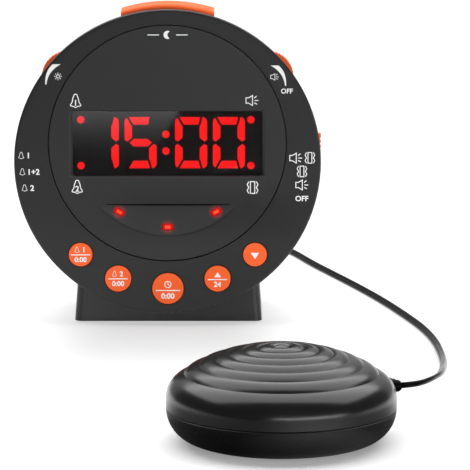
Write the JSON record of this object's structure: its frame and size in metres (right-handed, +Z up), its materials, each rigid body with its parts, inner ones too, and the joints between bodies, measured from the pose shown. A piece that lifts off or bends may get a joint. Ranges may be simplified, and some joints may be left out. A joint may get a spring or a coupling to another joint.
{
  "type": "bed shaker alarm clock",
  "caption": "Round-faced digital alarm clock on a stand, with orange buttons, snooze bar and thumbwheels, and a rippled vibrating shaker puck on a cord.",
  "frame": {"origin": "middle of the underside of the clock's foot pad, on the surface it stands on", "axes": "+X to the viewer's right, the face looks towards -Y, +Z up"},
  "size_m": [0.1662, 0.4336, 0.1269],
  "materials": {
    "body_plastic": "satin dark grey moulding",
    "lens_tint": "polished smoky acrylic",
    "segment_red": "glowing red",
    "segment_dark": "unlit segment",
    "alert_red": "glowing red light pipe",
    "inner_black": "black inner moulding",
    "board_green": "solder mask",
    "orange_plastic": "soft gloss orange",
    "knob_black": "matt black knob",
    "speaker_paper": "black paper cone",
    "steel": "bright steel",
    "weight_metal": "cast brass weight",
    "pin_metal": "plated pin",
    "foot_rubber": "matt rubber",
    "base_plastic": "matt moulding",
    "shaker_plastic": "satin black moulding",
    "cord_black": "glossy black flex",
    "tie_black": "soft plastic band"
  },
  "bodies": {
    "clock": {"front_bezel": "body_plastic", "face_panel": "body_plastic", "rear_housing": "body_plastic", "stand": "body_plastic", "display_lens": "lens_tint", "lit_segments": "segment_red", "dark_segments": "segment_dark", "alert_light_pipes": "alert_red", "display_module": "inner_black", "key_switches": "inner_black", "snooze_switch": "inner_black", "volume_control": "inner_black", "dimmer_control": "inner_black", "mode_switch": "inner_black", "alarm_switch": "inner_black", "dc_inlet": "inner_black", "shaker_jack": "inner_black", "motor_cradle": "inner_black", "main_board": "board_green", "speaker_cone": "speaker_paper", "speaker_basket": "steel", "speaker_magnet": "steel", "backup_cell": "steel", "cell_contact": "steel", "housing_screws": "steel", "board_screws": "steel", "stand_screws": "steel", "base_screws": "steel", "shaker_motor": "steel", "motor_strap": "steel", "shaker_screws": "steel", "plug_pin": "pin_metal", "foot_pad": "foot_rubber", "shaker_pad": "foot_rubber", "base_plate": "base_plastic", "shaker_top": "shaker_plastic", "shaker_bottom": "shaker_plastic", "cord_to_shaker": "cord_black", "cord_coil": "cord_black", "cord_to_plug": "cord_black", "shaker_plug": "cord_black", "shaker_grommet": "cord_black", "cord_tie": "tie_black"},
    "alarm_one_button": {"alarm_one_button": "orange_plastic"},
    "alarm_two_button": {"alarm_two_button": "orange_plastic"},
    "time_button": {"time_button": "orange_plastic"},
    "up_button": {"up_button": "orange_plastic"},
    "down_button": {"down_button": "orange_plastic"},
    "snooze_bar": {"snooze_bar": "orange_plastic"},
    "volume_wheel": {"volume_wheel": "orange_plastic"},
    "dimmer_wheel": {"dimmer_wheel": "orange_plastic"},
    "mode_slider": {"mode_slider": "orange_plastic"},
    "alarm_slider": {"alarm_slider": "orange_plastic"},
    "battery_cap": {"battery_cap": "knob_black"},
    "vibrator": {"motor_shaft": "steel", "eccentric_weight": "weight_metal"}
  },
  "joints": [
    {"name": "alarm_one_press", "type": "slide", "parent": "clock", "child": "alarm_one_button", "axis": [0, 1, 0], "range_m": [0, 0.0008], "stiffness_N_per_m": 1500, "springref_m": -0.0004},
    {"name": "alarm_two_press", "type": "slide", "parent": "clock", "child": "alarm_two_button", "axis": [0, 1, 0], "range_m": [0, 0.0008], "stiffness_N_per_m": 1500, "springref_m": -0.0004},
    {"name": "time_press", "type": "slide", "parent": "clock", "child": "time_button", "axis": [0, 1, 0], "range_m": [0, 0.0008], "stiffness_N_per_m": 1500, "springref_m": -0.0004},
    {"name": "up_press", "type": "slide", "parent": "clock", "child": "up_button", "axis": [0, 1, 0], "range_m": [0, 0.0008], "stiffness_N_per_m": 1500, "springref_m": -0.0004},
    {"name": "down_press", "type": "slide", "parent": "clock", "child": "down_button", "axis": [0, 1, 0], "range_m": [0, 0.0008], "stiffness_N_per_m": 1500, "springref_m": -0.0004},
    {"name": "snooze_press", "type": "slide", "parent": "clock", "child": "snooze_bar", "axis": [0, 0, -1], "range_m": [0, 0.0015], "stiffness_N_per_m": 1200, "springref_m": -0.0006},
    {"name": "volume_turn", "type": "hinge", "parent": "clock", "child": "volume_wheel", "pos_m": [0.03914, -0.0197, 0.09788], "axis": [0, 1, 0], "range_deg": [-140, 140]},
    {"name": "dimmer_turn", "type": "hinge", "parent": "clock", "child": "dimmer_wheel", "pos_m": [-0.03914, -0.0197, 0.09788], "axis": [0, 1, 0], "range_deg": [-140, 140]},
    {"name": "mode_slide", "type": "slide", "parent": "clock", "child": "mode_slider", "axis": [0, 0, 1], "range_m": [-0.0135, 0]},
    {"name": "alarm_slide", "type": "slide", "parent": "clock", "child": "alarm_slider", "axis": [0, 0, 1], "range_m": [-0.0045, 0.0045]},
    {"name": "cap_turn", "type": "hinge", "parent": "clock", "child": "battery_cap", "pos_m": [0, 0.019, 0.0525], "axis": [0, 1, 0], "range_deg": [0, 60]},
    {"name": "weight_spin", "type": "hinge", "parent": "clock", "child": "vibrator", "pos_m": [0.0543, -0.2284, 0.015], "axis": [1, 0, 0], "continuous": true}
  ]
}
